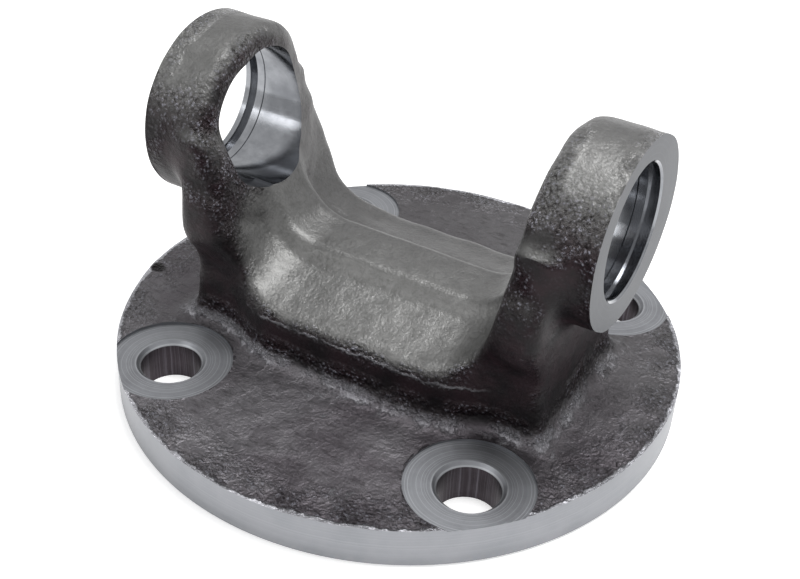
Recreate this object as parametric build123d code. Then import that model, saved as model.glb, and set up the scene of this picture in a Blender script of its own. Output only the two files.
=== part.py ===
from build123d import *
from math import atan2, cos, radians, sin
import os

# Forged flange yoke for a propeller shaft joint, in millimetres.
# +Z runs along the shaft axis, away from the mating face of the flange, and +X along the axis of
# the two cross bores. The origin is the middle of the mating face.

os.makedirs("parts", exist_ok=True)

# Flange: a disc with a turned rim, a forged upper face and a shallow pilot recess underneath
flange_radius = 75.0
flange_thickness = 11.5
rim_chamfer = 0.6
pilot_radius = 47.5
pilot_depth = 2.5

# Four bolt holes, each in a spot face cut into the forged upper face
bolt_circle_radius = 61.5
bolt_angles = (45, 135, 225, 315)
bolt_hole_radius = 7.75
bolt_hole_chamfer = 1.1
spot_face_radius = 16.0
spot_face_depth = 0.5

# Ears: the plates that carry the cross bores
bore_height = 64.0
bore_radius = 17.5
ear_face = 59.5
ear_inner = 43.6
stem_outer = 50.3
block_half_width = 29.3
shoulder_start = 47.0

# Bosses: the thick ovals round the bores, each drawn with four arcs
boss_half_width = 26.0
boss_half_height = 23.6
boss_end_radius = 22.0
boss_root_flare = 3.0

# Saddle: the floor of the fork, a tight bend and a long curve up the inside of each ear
saddle_floor = 29.0
saddle_bend = 50.0
ear_curve_radius = 47.0

# Web: the raised rib along the middle of the fork, with a bend and a slope up each ear
web_floor = 35.1
web_bend_radius = 10.7
web_corner = 29.7
web_end = (45.2, 62.0)
web_half_width = 8.0
web_depth = 8.0
web_draft = 2.8
web_crest_bevel = 2.0

# Scoops: room for the bolt heads and a spanner in the sides of the fork
scoop_radius = 20.5
scoop_top = 38.0
scoop_top_fillet = 6.0
scoop_edge_bevel = 1.8

# Rounded edges left by the forging dies
fork_edge_fillet = 4.0
root_fillet = 5.0

# Machining of the ears: bores, ring grooves and the relief faced on one side of each bore
bore_chamfer = 0.9
groove_width = 3.0
groove_depth = 1.3
groove_lip = 1.9
relief_radius = 21.5
relief_plane = 45.4
relief_reach = 14.0

# Heights and limits worked out from the sizes above, and allowances for the tools
ear_top = bore_height + boss_half_height
ear_bend = 90 - saddle_bend
buried = flange_thickness / 2
overrun = 1.0
near = 0.05


def fork_outline():
    """Side view of half the fork: one ear, half the floor and the foot they stand on."""
    with BuildLine() as edge:
        up_ear = CenterArc((ear_inner - ear_curve_radius, bore_height), ear_curve_radius, -ear_bend, ear_bend)
        start = up_ear @ 0
        bend_radius = (start.Y - saddle_floor) / (1 - cos(radians(saddle_bend)))
        bend_centre = (start.X - bend_radius * sin(radians(saddle_bend)), saddle_floor + bend_radius)
        bend = CenterArc(bend_centre, bend_radius, -90, saddle_bend)
        Line((0, saddle_floor), bend @ 0)
        Polyline(up_ear @ 1, (ear_inner, ear_top), (stem_outer, ear_top), (stem_outer, buried),
                 (0, buried), (0, saddle_floor))
    return Plane.XZ * make_face(edge.line)


def front_outline():
    """End view of the fork below the bores: a block that narrows up to the oval of the boss."""
    middle = ((block_half_width + boss_half_width) / 2, (shoulder_start + bore_height) / 2)
    with BuildLine() as edge:
        Line((0, buried), (block_half_width, buried))
        Line((block_half_width, buried), (block_half_width, shoulder_start))
        hip = TangentArc((block_half_width, shoulder_start), middle, tangent=(0, 1))
        TangentArc(middle, (boss_half_width, bore_height), tangent=hip % 1)
        Line((boss_half_width, bore_height), (0, bore_height))
        mirror(edge.line, Plane.YZ)
    return Plane.YZ * make_face(edge.line)


def boss_outline(growth=0):
    """The oval of the boss, in the view along the bore: end arcs joined by flatter ones, all tangent."""
    end_place = boss_half_width - boss_end_radius
    rise = boss_half_height - boss_end_radius
    drop = (end_place ** 2 - rise ** 2) / (2 * rise)
    flat_radius = boss_half_height + drop + growth
    lean = atan2(end_place, drop)
    joint = Vector(flat_radius * sin(lean), flat_radius * cos(lean) - drop)
    with BuildLine() as oval:
        RadiusArc((-joint.X, joint.Y), (joint.X, joint.Y), flat_radius)
        RadiusArc((joint.X, joint.Y), (joint.X, -joint.Y), boss_end_radius + growth)
        RadiusArc((joint.X, -joint.Y), (-joint.X, -joint.Y), flat_radius)
        RadiusArc((-joint.X, -joint.Y), (-joint.X, joint.Y), boss_end_radius + growth)
    return Pos(0, bore_height) * make_face(oval.line)


def slab(face, half_width):
    """A side view made twice a half width thick, about the middle plane."""
    return Pos(0, half_width, 0) * extrude(face, 2 * half_width)


def both_sides(half):
    """The same piece on both sides of the middle of the fork."""
    return half + mirror(half, Plane.YZ)


def fork_half():
    """Half the block with one ear and its boss, before the dies' rounded edges."""
    front = extrude(front_outline(), ear_face)
    side = slab(fork_outline(), block_half_width + overrun)
    boss = Pos(ear_inner, 0, 0) * extrude(Plane.YZ * boss_outline(), ear_face - ear_inner)
    flare = loft([Plane.YZ.offset(stem_outer) * boss_outline(boss_root_flare),
                  Plane.YZ.offset(stem_outer + boss_root_flare) * boss_outline()])
    return (side & front) + (flare & front) + boss


def web_half():
    """Half the raised rib: a flat crest with bevelled edges, carried along the middle of the fork."""
    path = FilletPolyline((0, web_floor), (web_corner, web_floor), web_end, radius=web_bend_radius)
    half_foot = web_half_width + web_draft
    section = make_face(Polyline((-half_foot, -web_depth), (half_foot, -web_depth), (web_half_width, 0),
                                 (-web_half_width, 0), (-half_foot, -web_depth)))
    section = chamfer(section.vertices().group_by(Axis.Y)[-1], web_crest_bevel)
    start = Plane(origin=(0, 0, web_floor), x_dir=(0, 1, 0), z_dir=(1, 0, 0))
    return sweep(start * section, Plane.XZ * path)


def scoop():
    """Clearance over one bolt: an upright round cut with a domed end."""
    cut = extrude(Pos(0, 0, flange_thickness) * Circle(scoop_radius), scoop_top - flange_thickness)
    return fillet(cut.edges().sort_by(Axis.Z)[-1], scoop_top_fillet)


def at_bolts(tool):
    """Copies of a tool at the four bolts."""
    return [Rot(0, 0, angle) * Pos(bolt_circle_radius, 0, 0) * tool for angle in bolt_angles]


def along_bore(outline, start, end):
    """A tool with an outline in the view along the bore, between two distances from the middle."""
    return Pos(start, 0, 0) * extrude(Plane.YZ * outline, end - start)


def bore_circle(radius):
    """A circle about the bore, in the view along it."""
    return Pos(0, bore_height) * Circle(radius)


def relief():
    """The face cut round one bore, open to the inside; the web and the side beyond it are missed."""
    ring = along_bore(bore_circle(relief_radius), relief_plane - relief_reach, relief_plane)
    width = relief_radius + web_half_width
    missed = Pos(relief_radius - width / 2, bore_height - relief_radius / 2) * Rectangle(width, relief_radius)
    return ring - along_bore(missed, relief_plane - relief_reach, relief_plane)


def disc():
    """The flange with its turned rim, before the spot faces run out over it."""
    plain = extrude(Circle(flange_radius), flange_thickness)
    return chamfer(plain.edges().sort_by(Axis.Z)[0], rim_chamfer)


def spread(edge):
    """How far an edge reaches along each axis."""
    return edge.bounding_box().size


def inner_edges(shape):
    """Edges between the inside of the fork and its flanks, over the top of both ears."""
    inside = shape.edges().filter_by(lambda e: abs(e.center().X) < ear_inner + near)
    inside = inside.filter_by(lambda e: e.center().Z > saddle_floor - near)
    return inside.filter_by(lambda e: spread(e).X > near or spread(e).Z > near)


def scoop_edges(shape):
    """Upright edges where the scoops leave the flanks and the outer faces of the stems."""
    upright = shape.edges().filter_by(Axis.Z)
    return upright.filter_by(lambda e: flange_thickness < e.center().Z < scoop_top - scoop_top_fillet)


def root_edges(shape):
    """Edges where the fork stands on the flange."""
    level = shape.edges().filter_by(lambda e: abs(e.center().Z - flange_thickness) < near)
    return level.filter_by(lambda e: spread(e).Z < near and e.length < flange_radius)


def circles(shape, radius, axis, *places):
    """Round edges of one radius whose centres stand at given places along an axis."""
    found = shape.edges().filter_by(GeomType.CIRCLE)
    found = found.filter_by(lambda e: abs(e.radius - radius) < near)
    return found.filter_by(lambda e: min(abs(e.arc_center.dot(axis) - place) for place in places) < near)


# Forging
body = both_sides(fork_half())
body = fillet(inner_edges(body), fork_edge_fillet)
body = body + both_sides(web_half())
body = body - at_bolts(scoop())
body = chamfer(scoop_edges(body), scoop_edge_bevel)
body = body + disc()
body = fillet(root_edges(body), root_fillet)

# Machining of the ears
body = body - along_bore(bore_circle(bore_radius), -ear_face - overrun, ear_face + overrun)
groove_outer = ear_face - groove_lip
groove = along_bore(bore_circle(bore_radius + groove_depth), groove_outer - groove_width, groove_outer)
body = body - [groove, mirror(groove, Plane.YZ)]
body = body - [relief(), mirror(relief(), Plane.YZ)]
across = Vector(1, 0, 0)
body = chamfer(circles(body, bore_radius, across, ear_face, -ear_face), bore_chamfer)

# Machining of the flange
spot_face = Pos(0, 0, flange_thickness - spot_face_depth) * extrude(Circle(spot_face_radius), root_fillet)
bolt_hole = Pos(0, 0, -overrun) * extrude(Circle(bolt_hole_radius), flange_thickness + 2 * overrun)
body = body - at_bolts(spot_face)
body = body - at_bolts(bolt_hole)
body = body - extrude(Circle(pilot_radius), pilot_depth)
up = Vector(0, 0, 1)
body = chamfer(circles(body, bolt_hole_radius, up, flange_thickness - spot_face_depth), bolt_hole_chamfer)

export_step(body, "parts/flange_yoke.step")
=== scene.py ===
import math

import bmesh
import bpy
import numpy as np
from mathutils import Matrix, Vector


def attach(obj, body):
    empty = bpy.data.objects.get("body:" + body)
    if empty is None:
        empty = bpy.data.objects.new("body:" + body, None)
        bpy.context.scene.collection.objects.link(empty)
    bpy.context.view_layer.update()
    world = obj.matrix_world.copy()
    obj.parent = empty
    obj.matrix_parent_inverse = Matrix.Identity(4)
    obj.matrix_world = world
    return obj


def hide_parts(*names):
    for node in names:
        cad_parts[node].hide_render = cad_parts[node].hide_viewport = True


# A forged steel flange yoke, made the way the real one is: the forging first, as one solid with the
# soft edges and the scale of the dies, and then every machined face cut into it with a tool of its
# own shape and finish. Lengths are in millimetres until a mesh is made.

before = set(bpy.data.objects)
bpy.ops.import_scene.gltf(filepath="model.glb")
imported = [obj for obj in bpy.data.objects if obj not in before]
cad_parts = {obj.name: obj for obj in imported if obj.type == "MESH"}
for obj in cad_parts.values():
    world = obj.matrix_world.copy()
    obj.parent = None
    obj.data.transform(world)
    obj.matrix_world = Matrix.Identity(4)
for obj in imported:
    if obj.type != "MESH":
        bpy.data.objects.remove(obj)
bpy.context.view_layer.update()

MM = 0.001

# Flange
FLANGE_RADIUS = 75.0
FLANGE_TOP = 11.5
RIM_CHAMFER = 0.6
PILOT_RADIUS = 47.5
PILOT_DEPTH = 2.5

# Bolt holes and their spot faces
BOLT_CIRCLE = 61.5
BOLT_ANGLES = (45, 135, 225, 315)
BOLT_HOLE_RADIUS = 7.75
BOLT_HOLE_CHAMFER = 1.1
SPOT_FACE_RADIUS = 16.0
SPOT_FACE_Z = 11.0

# Ears and bores
BORE_Z = 64.0
BORE_RADIUS = 17.5
LEFT_FACE = 60.9
RIGHT_FACE = 59.5
LIP_RADIUS = 16.8
BORE_CHAMFER = 0.5
GROOVE_WIDTH = 1.9
GROOVE_DEPTH = 1.4
GROOVE_LIP = 1.9
BOSS_TOP = 87.6

# A fine line that the boring tool left in each bore: its place in from the face and its depth
TOOL_MARK_PLACE = 6.0
TOOL_MARK = 0.35

# The cut that faces an ear: half its width and its lower end, both clear of the boss
EAR_CUT_HALF_WIDTH = 35.0
EAR_CUT_LOW = 33.0

# The two relief cuts round the inner end of each bore: radius, offset of the cutter from the bore,
# direction of the offset in degrees and distance of the faced plane from the middle
RELIEFS = ((12.0, 7.2, 220, 42.4), (15.0, 4.6, 162, 45.2))
RELIEF_REACH = 14.0

# The forged bosses came out a little unlike: middle across, middle height, half width, half height
LEFT_BOSS = (-0.9, 63.5, 25.6, 23.6)
RIGHT_BOSS = (1.6, 62.9, 26.4, 23.4)

# The right boss is thicker on the inside, growing between two heights to this much
RIGHT_BOSS_THICKER = 3.0
RIGHT_BOSS_RISE = (58.0, 72.0)

# Scoops over the bolts
SCOOP_RADIUS = 20.5
SCOOP_TOP = 38.0

# The forging is sampled on a grid of this step
GRID = 0.8

# Waves of the forged skin: height, length and random seed
WAVES = ((0.22, 12.0, 3), (0.20, 3.4, 4))

# Faces that meet at more than this many degrees keep a sharp edge
SHARP_ANGLE = 32

# Height of the thin line the dies left along the flanks
DIE_LINE_Z = 23.5

# Dark nicks and bright scratches seen on the forging: place, reach and tone. The share of the reach
# that has the full tone is the heart.
MARK_HEART = 0.6
MARKS = (((-72.0, -12.7, 11.5), 2.8, "0c080a"), ((-60.5, -19.6, 78.0), 1.8, "0c080a"),
         ((-28.6, -40.0, 11.5), 1.3, "120d0f"), ((54.0, -10.9, 83.9), 0.8, "2a2527"),
         ((46.6, -28.0, 40.5), 1.2, "c0c0c4"), ((43.2, -28.0, 52.2), 0.8, "b4b4b8"),
         ((44.0, -28.0, 47.4), 0.8, "b4b4b8"), ((45.6, -28.2, 28.5), 1.3, "c0c0c4"))

# Light: what the world gives the object, and how white the floor shows near it, from one distance and
# up to another where it is plain white
WORLD_LIGHT = 0.22
FLOOR_GLOW = 0.55
GLOW_FROM = 250.0
GLOW_FULL = 800.0

# Floor, lamps and camera in metres. A lamp is its name, watts, width and place. The camera has the
# lens and angles (azimuth, height and roll, in degrees) that were fitted to the photograph.
FLOOR_HALF = 3.0
PAPER_WHITE = "f4f4f4"
PAPER_ROUGHNESS = 0.9
LAMPS = (("overhead", 10.0, 0.55, (0.15, 0.20, 1.0)), ("front_left", 2.4, 0.42, (-0.45, -0.85, 0.75)))
LENS = 61.06
SENSOR = 36.0
CAMERA_ANGLES = (27.95, 35.58, 2.95)
CAMERA_PLACE = (0.13586, -0.25733, 0.23271)


# Small tools for shapes given as distances: negative inside, positive outside

def smooth_curve(points, per_span=6):
    """A smooth line through a few points, straight on at both ends."""
    p = np.array(points, float)
    p = np.vstack([2 * p[0] - p[1], p, 2 * p[-1] - p[-2]])
    t = np.linspace(0, 1, per_span, endpoint=False)[:, None]
    spans = []
    for a, b, c, d in zip(p, p[1:], p[2:], p[3:]):
        spans.append(b + 0.5 * t * (c - a + t * (2 * a - 5 * b + 4 * c - d + t * (3 * b - a - 3 * c + d))))
    return np.vstack(spans + [p[-2:-1]])


def outline_distance(points, u, v):
    """Distance from the grid u by v to a closed outline, negative inside."""
    u = u[:, None]
    v = v[None, :]
    nearest = np.full((u.shape[0], v.shape[1]), np.inf)
    inside = np.zeros(nearest.shape, bool)
    for (au, av), (bu, bv) in zip(points, np.roll(points, -1, axis=0)):
        eu, ev = bu - au, bv - av
        length = eu * eu + ev * ev
        if length < 1e-12:
            continue
        t = np.clip(((u - au) * eu + (v - av) * ev) / length, 0, 1)
        nearest = np.minimum(nearest, (u - au - t * eu) ** 2 + (v - av - t * ev) ** 2)
        if av != bv:
            crosses = (av > v) != (bv > v)
            inside ^= crosses & (u < (bu - au) * (v - av) / (bv - av) + au)
    return np.sqrt(nearest) * np.where(inside, -1, 1)


def join(a, b, blend):
    """Both shapes, with a hollow fillet where they meet."""
    over = np.maximum(blend - np.abs(a - b), 0) / blend
    return np.minimum(a, b) - over * over * blend / 4


def common(a, b, blend):
    """What two shapes share, with a rounded edge."""
    return -join(-a, -b, blend)


def ramp(value, start, end):
    """0 before start, 1 after end and smooth between them."""
    t = np.clip((value - start) / (end - start), 0, 1)
    return t * t * (3 - 2 * t)


def waviness(axes, size, seed):
    """Smooth random waves of one size over the grid, about -1 to 1."""
    source = np.random.default_rng(seed)
    counts = [int(np.ptp(axis) / size) + 5 for axis in axes]
    field = source.standard_normal(counts).astype(np.float32)
    for number, axis in enumerate(axes):
        place = (axis - axis[0]) / size + 1
        base = np.floor(place).astype(int)
        t = (place - base)[:, None]
        weights = np.zeros((len(axis), counts[number]), np.float32)
        parts = ((1 - t) ** 3 / 6, (3 * t ** 3 - 6 * t ** 2 + 4) / 6,
                 (1 + 3 * t + 3 * t ** 2 - 3 * t ** 3) / 6, t ** 3 / 6)
        for offset, part in enumerate(parts):
            weights[np.arange(len(axis)), base - 1 + offset] = part[:, 0]
        field = np.moveaxis(np.tensordot(weights, field, axes=(1, number)), 0, number)
    return field


# The forging

# The open side of the fork, as half outlines (distance from the middle, height): along the near rib,
# beside the web, along the far rib and over the web. The dies were a little out of line, so the near
# ribs stand further in than the far ones.
NEAR_RIB = ((20, 27), (27, 28.2), (31.5, 31.5), (34.5, 36.5), (36.8, 42.8), (38.3, 49.1), (39.8, 55.1),
            (41.5, 61.9), (43.2, 67.5), (43.6, 73))
BESIDE_WEB = ((20, 30.5), (26, 31.2), (31.8, 34.2), (36.6, 39.8), (39.6, 47.3), (41.3, 53.3), (42.6, 59.3),
              (43.4, 65.3), (43.8, 72))
FAR_RIB = ((20, 27.5), (26, 29.2), (32.5, 33.4), (38.2, 40.4), (41.2, 46.5), (43.1, 51.4), (44.3, 57.1),
           (46.4, 62.5), (46.8, 72))
WEB_CREST = ((18, 35.1), (23.5, 35.3), (29, 37.5), (33.5, 42.3), (37.4, 47.6), (40.9, 53.6), (43.4, 59.3),
             (45.4, 65), (47, 72))

# How far from the middle plane the outlines beside the web still hold and those of the ribs hold in
# full, and a height above the whole part
BESIDE_PLACE = 10.0
RIB_PLACE = 26.0
OPEN_TOP = 130.0

# The stems' outer faces, (distance from the middle, height)
STEM = ((53.2, 9.0), (52.2, 12.0), (51.2, 15.5), (50.5, 21.0), (50.3, 30.0), (50.6, 44.0), (50.6, 130.0))

# The block seen from the end, as (half its width, height), up to above the middle of the bores
BLOCK = ((30.6, 0.0), (29.6, 14.0), (29.2, 22.0), (29.3, 40.0), (29.2, 47.5), (28.5, 52.5), (26.9, 57.0),
         (26.1, 61.0), (26.0, 66.0))

# The web's crest and draft, the rounded edges (EDGE) and hollow fillets (FOOT) that the dies gave each
# form, and the steel left all round for machining
WEB_HALF_WIDTH = 8.3
WEB_DRAFT = 0.32
WEB_EDGE = 2.7
WEB_FOOT = 3.6
WEB_DRAFT_DEPTH = 9.0
WEB_REACH = 46.5
WEB_TOP = 60.0
FORK_EDGE = 5.2
SCOOP_EDGE = 5.0
SCOOP_DOME = 13.0
BOSS_FOOT = 4.0
BOSS_EDGE = 4.4
FLANGE_FOOT = 5.2
SPARE = 2.5


def open_side(half):
    """The outline of the fork's gap from half of it."""
    line = smooth_curve(half)
    right = np.vstack([line, [(line[-1][0], OPEN_TOP)]])
    return np.vstack([right, right[::-1] * (-1, 1)])


def forging_field(x, y, z):
    """Distance to the forged skin on the whole grid, negative in the steel."""
    gx = x[:, None, None]
    gy = y[None, :, None]
    gz = z[None, None, :]
    across = np.abs(gx)

    near, beside, far, crest = (-outline_distance(open_side(half), x, z)[:, None, :]
                                for half in (NEAR_RIB, BESIDE_WEB, FAR_RIB, WEB_CREST))
    to_near = ramp(-gy, BESIDE_PLACE, RIB_PLACE)
    to_far = ramp(gy, BESIDE_PLACE, RIB_PLACE)
    inner = near * to_near + far * to_far + beside * (1 - to_near - to_far)
    inner = inner - RIGHT_BOSS_THICKER * ramp(gz, *RIGHT_BOSS_RISE) * (gx > 0)

    stem = across - np.interp(z, [h for _, h in STEM], [d for d, _ in STEM])[None, None, :]
    block = smooth_curve(BLOCK)
    width = np.vstack([block, block[::-1] * (-1, 1)])
    sides = outline_distance(width, y, z)[None, :, :]

    fork = common(inner, sides, FORK_EDGE)
    fork = common(fork, stem, SCOOP_EDGE)

    left, right = (np.sqrt(((gy - aside) / wide) ** 2 + ((gz - level) / tall) ** 2) * tall - tall
                   for aside, level, wide, tall in (LEFT_BOSS, RIGHT_BOSS))
    boss = common(inner, np.where(gx < 0, left, right), BOSS_EDGE)
    boss = np.maximum(boss, across - LEFT_FACE - SPARE)
    fork = join(fork, boss, BOSS_FOOT)

    for angle in BOLT_ANGLES:
        away = np.hypot(gx - BOLT_CIRCLE * math.cos(math.radians(angle)),
                        gy - BOLT_CIRCLE * math.sin(math.radians(angle)))
        fork = common(fork, -common(away - SCOOP_RADIUS, gz - SCOOP_TOP, SCOOP_DOME), SCOOP_EDGE)

    wall = np.abs(gy) - WEB_HALF_WIDTH - WEB_DRAFT * np.clip(-crest, 0, WEB_DRAFT_DEPTH)
    web = common(crest, wall, WEB_EDGE)
    web = np.maximum(web, np.maximum(across - WEB_REACH, gz - WEB_TOP))
    fork = join(fork, web, WEB_FOOT)

    disc = common(gz - FLANGE_TOP, np.hypot(gx, gy) - FLANGE_RADIUS - SPARE, SPARE)
    skin = join(fork, disc, FLANGE_FOOT)
    for height, length, seed in WAVES:
        skin = skin + height * waviness((x, y, z), length, seed)
    return np.maximum(skin, -SPARE - gz)


def shifted(field, *steps):
    """The grid without its last layer, or without its first one where a step is 1, along each axis."""
    return field[tuple(slice(step, field.shape[n] - 1 + step) for n, step in enumerate(steps))]


# A grid point is turned to steel by this depth, in at most this many rounds
FILLED = -0.05
FILL_ROUNDS = 20


def settled(field):
    """The field with a little more steel where two surfaces would touch at one point of the grid."""
    corners = [(a, b, c) for a in (0, 1) for b in (0, 1) for c in (0, 1)]
    for _ in range(FILL_ROUNDS):
        steel = field < 0
        crowded = np.zeros(shifted(field, 0, 0, 0).shape, bool)
        total = sum(shifted(steel, *corner).astype(np.int8) for corner in corners)
        for a, b, c in corners[:4]:
            first, last = shifted(steel, a, b, c), shifted(steel, 1 - a, 1 - b, 1 - c)
            crowded |= (first == last) & (total == np.where(first, 2, 6))
        for axis in range(3):
            for layer in (0, 1):
                square = []
                for u, v in ((0, 0), (1, 0), (1, 1), (0, 1)):
                    corner = [u, v]
                    corner.insert(axis, layer)
                    square.append(shifted(steel, *corner))
                crowded |= (square[0] == square[2]) & (square[1] == square[3]) & (square[0] != square[1])
        if not crowded.any():
            return field
        cell = np.argwhere(crowded)
        around = cell[:, None, :] + np.array(corners)[None, :, :]
        value = field[tuple(around.reshape(-1, 3).T)].reshape(len(cell), 8)
        chosen = around[np.arange(len(cell)), np.where(value < 0, np.inf, value).argmin(axis=1)]
        field[tuple(chosen.T)] = FILLED
    return field


def skin_mesh(name, x, y, z, field):
    """A mesh of quads over the place where a field is 0, one corner to each cell that it crosses."""
    steel = field < 0
    cells = field.shape
    total = np.zeros(cells + (3,), np.float32)
    count = np.zeros(cells, np.float32)
    steps = np.eye(3, dtype=int)
    faces = []
    for axis in range(3):
        first = tuple(slice(0, -1) if n == axis else slice(None) for n in range(3))
        second = tuple(slice(1, None) if n == axis else slice(None) for n in range(3))
        crossed = steel[first] != steel[second]
        place = np.argwhere(crossed)
        a = field[first][crossed]
        b = field[second][crossed]
        point = place + (a / (a - b))[:, None] * steps[axis]
        others = [n for n in range(3) if n != axis]
        around = []
        for u, v in ((-1, -1), (0, -1), (0, 0), (-1, 0)):
            cell = place.copy()
            cell[:, others[0]] += u
            cell[:, others[1]] += v
            around.append(cell)
            where = tuple(cell.T)
            np.add.at(total, where, point)
            np.add.at(count, where, 1)
        quads = np.stack([np.ravel_multi_index(cell.T, cells) for cell in around], axis=1)
        flipped = steel[first][crossed] == (axis == 1)
        quads[flipped] = quads[flipped][:, ::-1]
        faces.append(quads)
    used = np.flatnonzero(count)
    number = np.full(count.size, -1)
    number[used] = np.arange(len(used))
    corners = total.reshape(-1, 3)[used] / count.reshape(-1)[used][:, None]
    low = np.array((x[0], y[0], z[0]))
    corners = (corners * GRID + low) * MM
    quads = number[np.vstack(faces)]
    mesh = bpy.data.meshes.new(name)
    mesh.from_pydata(corners.tolist(), [], quads.tolist())
    mesh.update()
    return mesh


def forging():
    """The raw forging as an object, with spare steel wherever a tool will cut."""
    reach = FLANGE_RADIUS + SPARE + 2 * GRID
    x = np.arange(-reach, reach + GRID, GRID)
    y = np.arange(-reach, reach + GRID, GRID)
    z = np.arange(-SPARE - 2 * GRID, BOSS_TOP + 4 * GRID, GRID)
    field = settled(forging_field(x, y, z).astype(np.float32))
    made = bpy.data.objects.new("flange_yoke_forging", skin_mesh("flange_yoke_forging", x, y, z, field))
    bpy.context.collection.objects.link(made)
    return made


# The machining: each tool is a closed solid with the finish that it leaves behind

# Flat steps to a full turn of a tool
TURN_STEPS = 160


def solid(name, corners, faces, material):
    """A closed mesh of one material as an object."""
    mesh = bpy.data.meshes.new(name)
    mesh.from_pydata([[c * MM for c in corner] for corner in corners], [], faces)
    shape = bmesh.new()
    shape.from_mesh(mesh)
    bmesh.ops.recalc_face_normals(shape, faces=shape.faces)
    shape.to_mesh(mesh)
    shape.free()
    mesh.materials.append(material)
    made = bpy.data.objects.new(name, mesh)
    bpy.context.collection.objects.link(made)
    return made


def turned(name, profile, material, place=None):
    """A solid turned from (radius, height) points that start and end on the axis."""
    place = place or Matrix()
    corners, rings = [], []
    for radius, height in profile:
        if radius == 0:
            rings.append([len(corners)])
            corners.append(place @ Vector((0, 0, height)))
            continue
        rings.append(list(range(len(corners), len(corners) + TURN_STEPS)))
        for step in range(TURN_STEPS):
            angle = 2 * math.pi * step / TURN_STEPS
            corners.append(place @ Vector((radius * math.cos(angle), radius * math.sin(angle), height)))
    faces = []
    for low, high in zip(rings, rings[1:]):
        for step in range(TURN_STEPS):
            after = (step + 1) % TURN_STEPS
            around = ((low, step), (low, after), (high, after), (high, step))
            face = [ring[n % len(ring)] for ring, n in around]
            faces.append(list(dict.fromkeys(face)))
    return solid(name, corners, faces, material)


def prism(name, outline, start, end, material):
    """A solid with an outline of (y, z) points between two distances along the bores."""
    count = len(outline)
    corners = [(start, y, z) for y, z in outline] + [(end, y, z) for y, z in outline]
    faces = [list(range(count)), list(range(2 * count - 1, count - 1, -1))]
    for step in range(count):
        after = (step + 1) % count
        faces.append([step, step + count, after + count, after])
    return solid(name, corners, faces, material)


def cut(work, tool, operation="DIFFERENCE"):
    """One cut, leaving the tool's finish on the new faces."""
    step = work.modifiers.new(tool.name, "BOOLEAN")
    step.operation = operation
    step.solver = "MANIFOLD"
    step.material_mode = "TRANSFER"
    step.object = tool
    mesh = bpy.data.meshes.new_from_object(work.evaluated_get(bpy.context.evaluated_depsgraph_get()))
    work.modifiers.clear()
    work.data = mesh
    bpy.data.objects.remove(tool)


def machine(work, turned_steel, faced_steel, bored_steel, spot_steel, shaded_drilled_steel):
    """Every cut of the real part: rim and mating face, ear faces, bores, reliefs and bolt holes."""
    top = BOSS_TOP + 3 * SPARE
    rim = ((0, PILOT_DEPTH), (PILOT_RADIUS, PILOT_DEPTH), (PILOT_RADIUS, 0),
           (FLANGE_RADIUS - RIM_CHAMFER, 0), (FLANGE_RADIUS, RIM_CHAMFER), (FLANGE_RADIUS, top), (0, top))
    cut(work, turned("rim_and_mating_face", rim, turned_steel), "INTERSECT")

    corners = ((-EAR_CUT_HALF_WIDTH, EAR_CUT_LOW), (EAR_CUT_HALF_WIDTH, EAR_CUT_LOW),
               (EAR_CUT_HALF_WIDTH, top), (-EAR_CUT_HALF_WIDTH, top))
    round_way = [math.tau * n / TURN_STEPS for n in range(TURN_STEPS)]
    for side, face in ((-1, LEFT_FACE), (1, RIGHT_FACE)):
        cut(work, prism("ear_face", corners, side * face, side * (face + 3 * SPARE), faced_steel))
        for radius, offset, lean, plane in RELIEFS:
            aside = offset * math.cos(math.radians(lean))
            level = BORE_Z + offset * math.sin(math.radians(lean))
            ring = [(aside + radius * math.cos(a), level + radius * math.sin(a)) for a in round_way]
            cut(work, prism("relief", ring, side * plane, side * (plane - RELIEF_REACH), faced_steel))

    mark = -TOOL_MARK_PLACE
    floor_radius = BORE_RADIUS + GROOVE_DEPTH
    floor_end = -GROOVE_LIP - GROOVE_WIDTH
    half = [(BORE_RADIUS, mark - TOOL_MARK), (BORE_RADIUS + TOOL_MARK, mark - TOOL_MARK / 2),
            (BORE_RADIUS, mark), (BORE_RADIUS, floor_end), (floor_radius, floor_end),
            (floor_radius, -GROOVE_LIP), (LIP_RADIUS, -GROOVE_LIP), (LIP_RADIUS, -BORE_CHAMFER),
            (LIP_RADIUS + BORE_CHAMFER + SPARE, SPARE)]
    bore = [(0, -LEFT_FACE - SPARE)] + [(r, -h - LEFT_FACE) for r, h in half[::-1]]
    bore += [(r, h + RIGHT_FACE) for r, h in half] + [(0, RIGHT_FACE + SPARE)]
    along = Matrix.Translation((0, 0, BORE_Z)) @ Matrix.Rotation(math.pi / 2, 4, "Y")
    cut(work, turned("bore", bore, bored_steel, along))

    low = SPOT_FACE_Z - BOLT_HOLE_CHAMFER
    above = SPOT_FACE_Z + 2 * SPARE
    spot = ((0, low), (BOLT_HOLE_RADIUS, low), (BOLT_HOLE_RADIUS + BOLT_HOLE_CHAMFER, SPOT_FACE_Z),
            (SPOT_FACE_RADIUS, SPOT_FACE_Z), (SPOT_FACE_RADIUS, above), (0, above))
    drill = ((0, -SPARE), (BOLT_HOLE_RADIUS, -SPARE), (BOLT_HOLE_RADIUS, SPOT_FACE_Z), (0, SPOT_FACE_Z))
    for angle in BOLT_ANGLES:
        at = Matrix.Rotation(math.radians(angle), 4, "Z") @ Matrix.Translation((BOLT_CIRCLE, 0, 0))
        cut(work, turned("spot_face", spot, spot_steel, at))
        cut(work, turned("bolt_hole", drill, shaded_drilled_steel, at))


# Materials. Patterns are laid out in millimetres, and each one's scale is 1 over a real size.

def linear(code):
    """A screen colour such as 8a8d90 as linear values."""
    values = [int(code[n:n + 2], 16) / 255 for n in (0, 2, 4)]
    return tuple(v / 12.92 if v <= 0.04045 else ((v + 0.055) / 1.055) ** 2.4 for v in values) + (1,)


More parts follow.
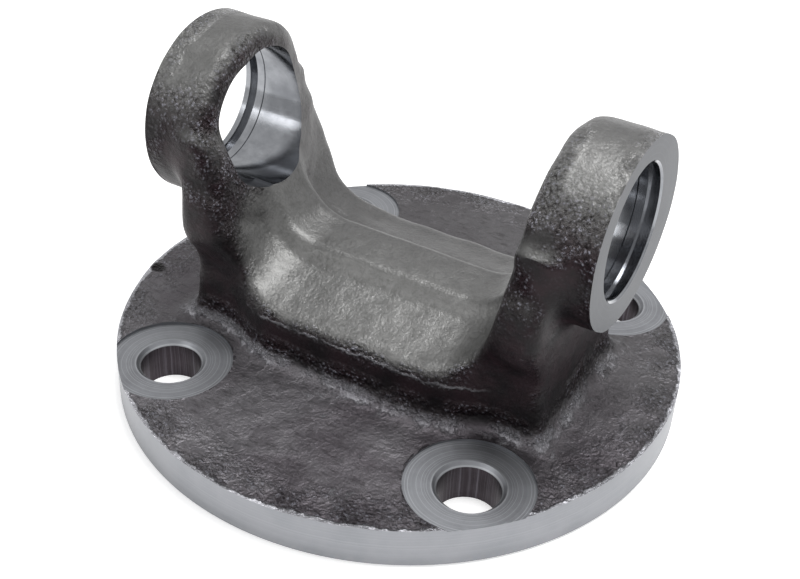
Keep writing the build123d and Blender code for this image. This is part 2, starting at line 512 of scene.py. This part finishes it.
def add(tree, kind, *inputs, give=0, **settings):
    """Adds a node and gives back one of its outputs, or the node. Its inputs, in the node's own order, are
    links, numbers, places or colour codes; the settings are its properties and named inputs."""
    node = tree.nodes.new("ShaderNode" + kind)
    for name, value in settings.items():
        if name in node.inputs:
            node.inputs[name].default_value = value
        else:
            setattr(node, name, value)
    for slot, value in zip(node.inputs, inputs):
        if isinstance(value, bpy.types.NodeSocket):
            tree.links.new(value, slot)
        elif value is not None:
            slot.default_value = linear(value) if isinstance(value, str) else value
    return node if give is None else node.outputs[give]


def surface(name):
    """A new material with its tree, its shader and the place on the object in millimetres."""
    made = bpy.data.materials.new(name)
    made.use_nodes = True
    tree = made.node_tree
    place = add(tree, "TexCoord", give="Object")
    place = add(tree, "VectorMath", place, (1 / MM,) * 3, operation="MULTIPLY")
    return made, tree, tree.nodes["Principled BSDF"], place


def zone(tree, *fades):
    """The share of the surface that lies past every fade. A fade is a value, where it starts to count and
    where it counts in full, which is the lower one where the value has to be small."""
    share = 1
    for value, start, full in fades:
        past = add(tree, "MapRange", value, start, full, interpolation_type="SMOOTHSTEP")
        share = add(tree, "Math", share, past, operation="MULTIPLY")
    return share


# Sizes of what the forged skin shows: broad clouds of tone, patches of scale and lumps from the dies.
# Grains of scale and craters of shot are a few tenths of a millimetre and the scores of the dies are
# finer still, so they are drawn about 1 mm wide to show. The craters are bent out of round.
CLOUD = 26.0
PATCH = 9.0
LUMP = 3.4
GRAIN = 1.0
CRATER = 0.9
CRATER_BEND = 1.2
CRATER_BEND_SIZE = 1.4286
SCORE = 1.1
SCORE_STRETCH = (0.3, 1.0, 0.6)
SKIN_DEPTH = 1.6

# Places on the forging where its look changes, as the start and end of a fade: heights, distances
# from the middle along the bores (side) and across them (depth), and radii
ON_FLANGE = (22.0, 16.0)
FLANGE_EDGE = (60.0, 73.0)
FOOT = (11.8, 13.5)
FOOT_TOP = (20.0, 16.0)
EARS = (50.0, 60.0)
BOSS_OUTSIDE = (54.5, 59.0)
BOSS_INSIDE = (47.8, 44.0)
THROAT_FROM = (26.0, 34.0)
THROAT_TO = (52.0, 44.0)
THROAT_NEAR = (-26.0, -16.0)
THROAT_FAR = (0.0, 10.0)
THROAT_SIDE = (49.0, 45.0)
PLATE_TOP = (20.0, 13.0)
FAR_SLOPE = (-12.0, 16.0)
RIM_METAL = (73.7, 74.3)
LIT_FRINGE = (11.9, 12.5)
LIT_FRINGE_TOP = (14.8, 13.2)
DIE_LINE_HALF = (0.6, 0.1)
DIE_LINE_SIDE = (40.0, 30.0)

# How far the edges of laid bare metal and of marks wander, from one side to the other
RAGGEDNESS = 4.0

# Fades of shares and patterns. Lean is how far the skin faces up, with the wear of the throat added; skin
# that leans up takes the lighter tones of the tops, partly as painted light.
WORN_AND_LIT_LEAN = (0.12, 0.85)
SHOULDER_LEAN = (0.0, 0.35)
SHOULDER_END = (0.90, 0.55)
CREST = (0.508, 0.545)
ROUGH_PATCHES = (0.34, 0.62)
WALL_PATCHES = (0.35, 0.65)
LUMP_TONES = (0.30, 0.70)
CLOUD_TONES = (0.35, 0.70)
PITS = (0.55, 0.70)
SCORES = (0.50, 0.34)
GLINT_FLECK_CROWNS = (0.40, 0.85)
GLINT_FLECK_GRAINS = (0.46, 0.58)
DIE_LINE_PATCHES = (0.38, 0.55)
LIT_FRINGE_PATCHES = (0.36, 0.60)

# How much each thing counts: clouds and throat in the wear and painted light of the tops, throat in smoothing
# the skin, the painted shade of the far slope, craters in the pits, pits on smooth skin and with more on
# coarse, scores of the dies, and the die line and fringe beside the rim, the fringe being a painted highlight
CLOUD_WEAR = 0.4
THROAT_WEAR = 0.45
THROAT_SMOOTHING = 0.85
LEAST_ROUGH = 0.05
FAR_SLOPE_SHADE_SHARE = 0.55
CRATER_PITS = 0.12
SMOOTH_PITS = 0.12
COARSE_PITS = 0.8
SCORE_SHARE = 0.45
LINE_SHARE = 0.5

# Shine of the skin: what smooth scale has and what wear or coarseness adds to it. Then its relief: the
# heights of its patterns as shares of the skin's depth.
SCALE_METALLIC = 0.15
WORN_METALLIC = 0.65
SKIN_ROUGHNESS = 0.40
COARSE_ROUGHNESS = -0.14
SCALE_SHEEN = 0.25
GRAIN_HEIGHT = 0.6
CROWN_HEIGHT = 0.4
SMOOTH_HEIGHT = 0.02
LUMP_HEIGHT = 0.2
BARE_HEIGHT = 0.4

# Tones of the forging: the purple black of the walls (scale and painted shade), the greys of the flange and
# of the worn tops (with painted light), the painted shade of the far slope, pits, flecks brightened as
# painted glints, and metal laid bare, whose tone also paints the highlight of the fringe
WALL_SCALE_AND_SHADE_TONES = ("0b0609", "26181d")
PLATE_TONES = ("5b595c", "6a686b")
PLATE_CLOUD = "4c484c"
TOP_WEAR_AND_LIGHT_TONES = ("626261", "6e6e6d")
FAR_SLOPE_SHADE_TONE = "4b4a4b"
PIT_TONE = "151012"
GLINT_FLECK_TONE = "85858e"
BARE_AND_HIGHLIGHT_TONE = "a3a3a8"


def forged_skin():
    """Carbon steel, hot forged between dies and cleaned with shot: mill scale and painted shade keep the
    walls nearly black with a dull sheen, handling has worn the tops grey and painted light lightens them, and
    the edges that the dies pressed thin are coarse and glitter with painted glints."""
    made, tree, shader, place = surface("forged steel with mill scale")
    x, y, z = add(tree, "SeparateXYZ", place, give=None).outputs
    side = add(tree, "Math", x, operation="ABSOLUTE")
    radius = add(tree, "VectorMath", add(tree, "CombineXYZ", x, y), operation="LENGTH", give="Value")
    form = add(tree, "NewGeometry", give=None).outputs
    upward = add(tree, "SeparateXYZ", form["Normal"], give="Z")

    clouds = add(tree, "TexNoise", place, Scale=1 / CLOUD, Detail=3, Roughness=0.55)
    patches = add(tree, "TexNoise", place, Scale=1 / PATCH, Detail=4, Roughness=0.6)
    lumps = add(tree, "TexNoise", place, Scale=1 / LUMP, Detail=6, Roughness=0.7, Distortion=0.2)
    grain = add(tree, "TexNoise", place, Scale=1 / GRAIN, Detail=5, Roughness=0.75, Distortion=0.2)
    bend = add(tree, "TexNoise", place, Scale=1 / CRATER_BEND_SIZE, Detail=2, give="Color")
    bent = add(tree, "VectorMath", bend, (CRATER_BEND,) * 3, place, operation="MULTIPLY_ADD")
    crater = add(tree, "TexVoronoi", bent, Scale=1 / CRATER, give="Distance")
    crown = add(tree, "Math", 1, crater, operation="SUBTRACT", use_clamp=True)
    drawn = add(tree, "VectorMath", place, SCORE_STRETCH, operation="MULTIPLY")
    scores = add(tree, "TexNoise", drawn, Scale=1 / SCORE, Detail=4, Roughness=0.7)

    # The throat under the ears is worn as smooth as the tops, and clouds break up where the wear ends
    throat = add(tree, "Math", zone(tree, (z, *THROAT_TO)), zone(tree, (y, *THROAT_FAR)), operation="MAXIMUM")
    bounds = zone(tree, (z, *THROAT_FROM), (y, *THROAT_NEAR), (side, *THROAT_SIDE))
    throat = add(tree, "Math", throat, bounds, operation="MULTIPLY")
    # Skin that faces up, and the throat, take the tops' tones and the rest the walls': partly wear and scale,
    # partly painted light on the tops and painted shade on the walls
    uneven = add(tree, "Math", clouds, 0.5, operation="SUBTRACT")
    lean = add(tree, "Math", uneven, CLOUD_WEAR, upward, operation="MULTIPLY_ADD")
    lean = add(tree, "Math", throat, THROAT_WEAR, lean, operation="MULTIPLY_ADD")
    worn_and_lit = zone(tree, (lean, *WORN_AND_LIT_LEAN))

    # Coarse skin: shoulders, the edge of the flange, the ears outside and inside, the foot of the fork
    # and every sharp crest, in patches
    rough = zone(tree, (lean, *SHOULDER_LEAN), (lean, *SHOULDER_END))
    for share in (zone(tree, (radius, *FLANGE_EDGE), (z, *ON_FLANGE)),
                  zone(tree, (side, *BOSS_OUTSIDE), (z, *EARS)),
                  zone(tree, (side, *BOSS_INSIDE), (z, *EARS)),
                  zone(tree, (z, *FOOT), (z, *FOOT_TOP)),
                  zone(tree, (form["Pointiness"], *CREST))):
        rough = add(tree, "Math", rough, share, operation="ADD", use_clamp=True)
    rough = add(tree, "Math", rough, zone(tree, (patches, *ROUGH_PATCHES)), operation="MULTIPLY")
    smooth = add(tree, "Math", throat, -THROAT_SMOOTHING, 1, operation="MULTIPLY_ADD")
    rough = add(tree, "Math", rough, smooth, operation="MULTIPLY")
    rough = add(tree, "Math", rough, LEAST_ROUGH, operation="MAXIMUM")

    # The flange and the far slope are darker than the tops of the saddle, the web and the bosses; the far
    # slope's darker tone is painted shade
    wall = add(tree, "MixRGB", zone(tree, (patches, *WALL_PATCHES)), *WALL_SCALE_AND_SHADE_TONES)
    plate = add(tree, "MixRGB", zone(tree, (lumps, *LUMP_TONES)), *PLATE_TONES)
    plate = add(tree, "MixRGB", zone(tree, (clouds, *CLOUD_TONES)), plate, PLATE_CLOUD)
    tops_worn_and_lit = add(tree, "MixRGB", zone(tree, (lumps, *LUMP_TONES)), *TOP_WEAR_AND_LIGHT_TONES)
    tops_worn_and_lit = add(tree, "MixRGB", zone(tree, (z, *PLATE_TOP)), tops_worn_and_lit, plate)
    shaded = add(tree, "Math", zone(tree, (y, *FAR_SLOPE)), FAR_SLOPE_SHADE_SHARE, operation="MULTIPLY")
    tops_worn_and_lit = add(tree, "MixRGB", shaded, tops_worn_and_lit, FAR_SLOPE_SHADE_TONE)
    # Painted light and shade: the tops' grey is partly painted light and the walls' black partly painted
    # shade
    body = add(tree, "MixRGB", worn_and_lit, wall, tops_worn_and_lit)

    # Pits where the skin is coarse, scores of the dies on the flange, and flecks brightened as painted glints
    hollow = add(tree, "Math", crater, CRATER_PITS, 1, operation="MULTIPLY_ADD")
    hollow = add(tree, "Math", hollow, grain, operation="SUBTRACT")
    pitted = add(tree, "Math", rough, COARSE_PITS, SMOOTH_PITS, operation="MULTIPLY_ADD")
    pits = add(tree, "Math", zone(tree, (hollow, *PITS)), pitted, operation="MULTIPLY")
    scored = zone(tree, (scores, *SCORES), (z, *ON_FLANGE))
    scored = add(tree, "Math", scored, SCORE_SHARE, operation="MULTIPLY")
    pits = add(tree, "Math", pits, scored, operation="MAXIMUM")
    body = add(tree, "MixRGB", pits, body, PIT_TONE)
    glint_flecks = zone(tree, (crown, *GLINT_FLECK_CROWNS), (grain, *GLINT_FLECK_GRAINS))
    glint_flecks = add(tree, "Math", glint_flecks, rough, operation="MULTIPLY")
    body = add(tree, "MixRGB", glint_flecks, body, GLINT_FLECK_TONE)

    # Metal laid bare: the ragged upper edge of the rim and the thin line that the dies left along the flanks.
    # In the same tone, the fringe over it is a painted highlight where the flange meets the foot of the fork
    ragged = add(tree, "Math", lumps, 0.5, operation="SUBTRACT")
    ragged = add(tree, "Math", ragged, RAGGEDNESS, operation="MULTIPLY")
    ragged_radius = add(tree, "Math", radius, ragged, operation="ADD")
    ragged_height = add(tree, "Math", z, ragged, operation="ADD")
    rim = zone(tree, (ragged_radius, *RIM_METAL), (z, *ON_FLANGE))
    line = add(tree, "Math", ragged_height, DIE_LINE_Z, operation="SUBTRACT")
    line = add(tree, "Math", line, operation="ABSOLUTE")
    line = zone(tree, (line, *DIE_LINE_HALF), (side, *DIE_LINE_SIDE), (patches, *DIE_LINE_PATCHES))
    lit_fringe = zone(tree, (ragged_height, *LIT_FRINGE), (ragged_height, *LIT_FRINGE_TOP), (patches, *LIT_FRINGE_PATCHES))
    bare_and_highlight = add(tree, "Math", line, lit_fringe, operation="MAXIMUM")
    bare_and_highlight = add(tree, "Math", bare_and_highlight, LINE_SHARE, operation="MULTIPLY")
    bare_and_highlight = add(tree, "Math", rim, bare_and_highlight, operation="MAXIMUM")
    body = add(tree, "MixRGB", bare_and_highlight, body, BARE_AND_HIGHLIGHT_TONE)
    for centre, reach, tone in MARKS:
        away = add(tree, "VectorMath", place, centre, operation="DISTANCE", give="Value")
        away = add(tree, "Math", away, ragged, operation="ADD")
        body = add(tree, "MixRGB", zone(tree, (away, reach, reach * MARK_HEART)), body, tone)

    # Scale is mostly not metallic; worn and glittering skin is more so, and coarse skin shines more
    metallic = add(tree, "Math", rough, worn_and_lit, operation="MAXIMUM")
    metallic = add(tree, "Math", metallic, WORN_METALLIC, SCALE_METALLIC, operation="MULTIPLY_ADD")
    dullness = add(tree, "Math", rough, COARSE_ROUGHNESS, SKIN_ROUGHNESS, operation="MULTIPLY_ADD")
    tree.links.new(body, shader.inputs["Base Color"])
    tree.links.new(metallic, shader.inputs["Metallic"])
    tree.links.new(dullness, shader.inputs["Roughness"])
    shader.inputs["Specular IOR Level"].default_value = SCALE_SHEEN

    fine = add(tree, "Math", grain, GRAIN_HEIGHT, operation="MULTIPLY")
    fine = add(tree, "Math", crown, CROWN_HEIGHT, fine, operation="MULTIPLY_ADD")
    share = add(tree, "Math", rough, SMOOTH_HEIGHT, operation="ADD")
    fine = add(tree, "Math", fine, share, operation="MULTIPLY")
    height = add(tree, "Math", lumps, LUMP_HEIGHT, fine, operation="MULTIPLY_ADD")
    height = add(tree, "Math", bare_and_highlight, BARE_HEIGHT, height, operation="MULTIPLY_ADD")
    bump = add(tree, "Bump", Strength=1, Distance=SKIN_DEPTH * MM, give=None)
    tree.links.new(height, bump.inputs["Height"])
    tree.links.new(bump.outputs[0], shader.inputs["Normal"])
    return made


# Sizes on machined steel: broad stains of handling and oil, and the slow drift of a tool's lines
STAIN = 14.0
DRIFT = 8.0
DRIFT_SHARE = 0.6

# Fades of the stains and of the brighter lines, the share of those, and what a line adds to roughness
STAIN_TONES = (0.30, 0.75)
BRIGHT_LINES = (0.45, 0.70)
BRIGHT_SHARE = 0.5
LINE_ROUGHNESS = 0.12

# A point on the axis of the bores, and one on the axis of the bolt hole on the side of +X and +Y,
# which stands for all four
BORE_MIDDLE = (0, 0, BORE_Z)
BOLT_MIDDLE = (BOLT_CIRCLE * math.sqrt(0.5), BOLT_CIRCLE * math.sqrt(0.5), 0)


def across_lines(tree, place, axis, radius):
    """The way across a tool's lines, in millimetres. On the shaft's own axis they are rings up the rim. On
    another they are rings round the middle of a face, or, with a hole's radius, lines along its wall."""
    if axis == "shaft":
        return add(tree, "SeparateXYZ", place, give="Z")
    if axis == "bolts":
        place = add(tree, "VectorMath", place, operation="ABSOLUTE")
    middle = BOLT_MIDDLE if axis == "bolts" else BORE_MIDDLE
    offset = add(tree, "VectorMath", place, middle, operation="SUBTRACT")
    x, y, z = add(tree, "SeparateXYZ", offset, give=None).outputs
    other = x if axis == "bolts" else z
    if radius is None:
        return add(tree, "VectorMath", add(tree, "CombineXYZ", y, other), operation="LENGTH", give="Value")
    turn = add(tree, "Math", y, other, operation="ARCTAN2")
    return add(tree, "Math", turn, radius, operation="MULTIPLY")


def machined(name, tones, roughness, axis, pitch, depth, radius=None, metallic=1.0):
    """Steel cut with a tool: its plain, stained and bright tones, and the tool's lines by their pitch and
    depth in millimetres. On the bore the lines are broad streaks of painted reflection."""
    made, tree, shader, place = surface(name)
    plain, stained, bright = tones
    drift = add(tree, "TexNoise", place, Scale=1 / DRIFT, Detail=2, Roughness=0.5)
    drifting = add(tree, "Math", drift, pitch * DRIFT_SHARE, across_lines(tree, place, axis, radius),
                   operation="MULTIPLY_ADD")
    lines = add(tree, "TexNoise", None, drifting, noise_dimensions="1D", Scale=1 / pitch, Detail=5,
                Roughness=0.75)
    stain = add(tree, "TexNoise", place, Scale=1 / STAIN, Detail=5, Roughness=0.65)
    tone = add(tree, "MixRGB", zone(tree, (stain, *STAIN_TONES)), plain, stained)
    lines_and_painted_streaks = add(tree, "Math", zone(tree, (lines, *BRIGHT_LINES)), BRIGHT_SHARE, operation="MULTIPLY")
    tone = add(tree, "MixRGB", lines_and_painted_streaks, tone, bright)
    dullness = add(tree, "Math", lines, LINE_ROUGHNESS, roughness, operation="MULTIPLY_ADD")
    tree.links.new(tone, shader.inputs["Base Color"])
    tree.links.new(dullness, shader.inputs["Roughness"])
    shader.inputs["Metallic"].default_value = metallic
    bump = add(tree, "Bump", Strength=1, Distance=depth * MM, give=None)
    tree.links.new(lines, bump.inputs["Height"])
    tree.links.new(bump.outputs[0], shader.inputs["Normal"])
    return made


# Each finish is the bare steel of the forging, given by its plain, stained and bright tones and its
# roughness, then by the tool's axis and the pitch and depth of its lines. The feed marks of these tools
# are 0.1 to 0.3 mm apart, too fine to show, so they are drawn coarser, at the pitch given here. In the bore
# the lines are broad streaks of painted reflection instead.

# Turned on a lathe: pale and satin, with level rings up the rim
turned_steel = machined("turned steel rim", ("8f9094", "85878b", "9b9da0"), 0.34, "shaft", 0.9, 0.02)

# Faced with a single point tool: flat mid grey, with rings round the bore
faced_steel = machined("faced steel ear", ("505256", "46484c", "66686b"), 0.36, "bores", 1.0, 0.02)

# Bored and reamed: almost a mirror, with broad soft streaks along the wall that are painted reflections
bored_steel = machined("bored steel", ("707276", "9c9ea2", "8a8c90"), 0.10, "bores", 6.0, 0.01, BORE_RADIUS)

# Spot faced with a piloted cutter: bright rings round each bolt hole, over a little scale that is left
spot_steel = machined("spot faced steel", ("7d7f83", "696a6e", "a9abae"), 0.36, "bolts", 0.6, 0.04,
                      metallic=0.75)

# Drilled: dark and rough, with scores along the wall from the chips; the dark tones are painted shade in the
# hole
shaded_drilled_steel = machined("drilled steel with painted shade", ("3f383d", "241e22", "76727a"), 0.34, "bolts", 1.4, 0.06,
                         BOLT_HOLE_RADIUS, 0.8)

yoke = forging()
yoke.data.materials.append(forged_skin())
machine(yoke, turned_steel, faced_steel, bored_steel, spot_steel, shaded_drilled_steel)
yoke.name = "forged_yoke"
yoke.data.shade_smooth()
yoke.data.set_sharp_from_angle(angle=math.radians(SHARP_ANGLE))
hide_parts("flange_yoke")
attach(yoke, "root")


# Floor, lamps and camera

def seen(tree):
    """1 for rays that come straight from the eye or off a shiny surface."""
    rays = add(tree, "LightPath", give=None).outputs
    shiny = add(tree, "Math", rays["Is Glossy Ray"], rays["Is Transmission Ray"], operation="MAXIMUM")
    return add(tree, "Math", rays["Is Camera Ray"], shiny, operation="MAXIMUM")


def paper_floor():
    """White backdrop paper, coated matt: it shows as white, takes a soft shadow beside the part and is
    plain white further off."""
    made, tree, shader, place = surface("white paper floor")
    shader.inputs["Base Color"].default_value = linear(PAPER_WHITE)
    shader.inputs["Roughness"].default_value = PAPER_ROUGHNESS
    shader.inputs["Emission Color"].default_value = (1, 1, 1, 1)
    away = add(tree, "VectorMath", place, operation="LENGTH", give="Value")
    glow = add(tree, "MapRange", away, GLOW_FROM, GLOW_FULL, FLOOR_GLOW, 1)
    glow = add(tree, "Math", seen(tree), glow, operation="MULTIPLY")
    tree.links.new(glow, shader.inputs["Emission Strength"])
    return made


floor_mesh = bpy.data.meshes.new("floor")
signs = ((-1, -1), (1, -1), (1, 1), (-1, 1))
floor_mesh.from_pydata([(a * FLOOR_HALF, b * FLOOR_HALF, 0) for a, b in signs], [], [(0, 1, 2, 3)])
floor_mesh.materials.append(paper_floor())
floor = bpy.data.objects.new("floor", floor_mesh)
bpy.context.collection.objects.link(floor)

scene = bpy.context.scene
scene.view_settings.view_transform = "Standard"
world = bpy.data.worlds.new("studio")
scene.world = world
world.use_nodes = True
sky = world.node_tree.nodes["Background"]
sky.inputs["Color"].default_value = (1, 1, 1, 1)
strength = add(world.node_tree, "MapRange", seen(world.node_tree), 0, 1, WORLD_LIGHT, 1)
world.node_tree.links.new(strength, sky.inputs["Strength"])

for name, watts, width, place in LAMPS:
    light = bpy.data.lights.new(name, "AREA")
    light.energy = watts
    light.size = width
    lamp = bpy.data.objects.new(name, light)
    lamp.location = place
    lamp.rotation_euler = (-Vector(place)).to_track_quat("-Z", "Y").to_euler()
    bpy.context.collection.objects.link(lamp)

eye = bpy.data.cameras.new("camera")
eye.lens = LENS
eye.sensor_width = SENSOR
camera = bpy.data.objects.new("camera", eye)
azimuth, height, roll = (math.radians(a) for a in CAMERA_ANGLES)
back = Vector((math.sin(azimuth) * math.cos(height), -math.cos(azimuth) * math.cos(height), math.sin(height)))
right = Vector((math.cos(azimuth), math.sin(azimuth), 0))
up = back.cross(right)
level, lean = math.cos(roll), math.sin(roll)
turn = Matrix((level * right + lean * up, level * up - lean * right, back))
camera.matrix_world = Matrix.Translation(CAMERA_PLACE) @ turn.transposed().to_4x4()
bpy.context.collection.objects.link(camera)
scene.camera = camera
